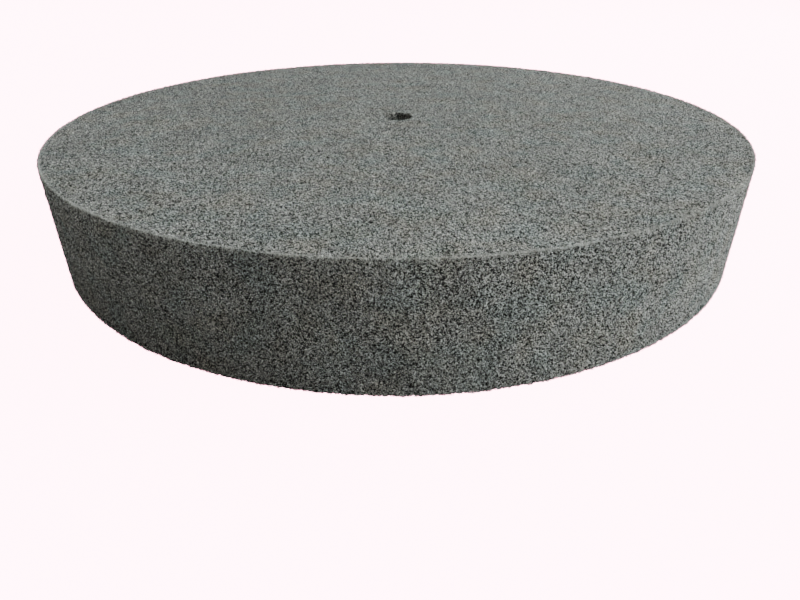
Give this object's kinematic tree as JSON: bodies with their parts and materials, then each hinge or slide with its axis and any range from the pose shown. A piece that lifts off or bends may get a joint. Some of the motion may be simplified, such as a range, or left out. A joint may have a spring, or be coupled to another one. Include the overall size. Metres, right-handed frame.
{
  "type": "polishing wheel",
  "caption": "Thick round polishing wheel of pressed and bonded plies of non-woven abrasive fibre web, with a plain centre bore.",
  "frame": {"origin": "centre of the bottom side face, on the bore axis", "axes": "+Z along the bore axis, from the bottom side face to the top one; X and Y lie in the bottom face and are equal"},
  "size_m": [0.3, 0.3, 0.045],
  "materials": {
    "abrasive_web": "matt open web of nylon fibres with mineral grain and cured resin, mid grey"
  },
  "bodies": {
    "root": {"face_ply_bottom": "abrasive_web", "core_ply_02": "abrasive_web", "core_ply_03": "abrasive_web", "core_ply_04": "abrasive_web", "core_ply_05": "abrasive_web", "core_ply_06": "abrasive_web", "core_ply_07": "abrasive_web", "core_ply_08": "abrasive_web", "core_ply_09": "abrasive_web", "core_ply_10": "abrasive_web", "core_ply_11": "abrasive_web", "core_ply_12": "abrasive_web", "core_ply_13": "abrasive_web", "core_ply_14": "abrasive_web", "core_ply_15": "abrasive_web", "core_ply_16": "abrasive_web", "core_ply_17": "abrasive_web", "core_ply_18": "abrasive_web", "core_ply_19": "abrasive_web", "core_ply_20": "abrasive_web", "face_ply_top": "abrasive_web"}
  },
  "joints": []
}
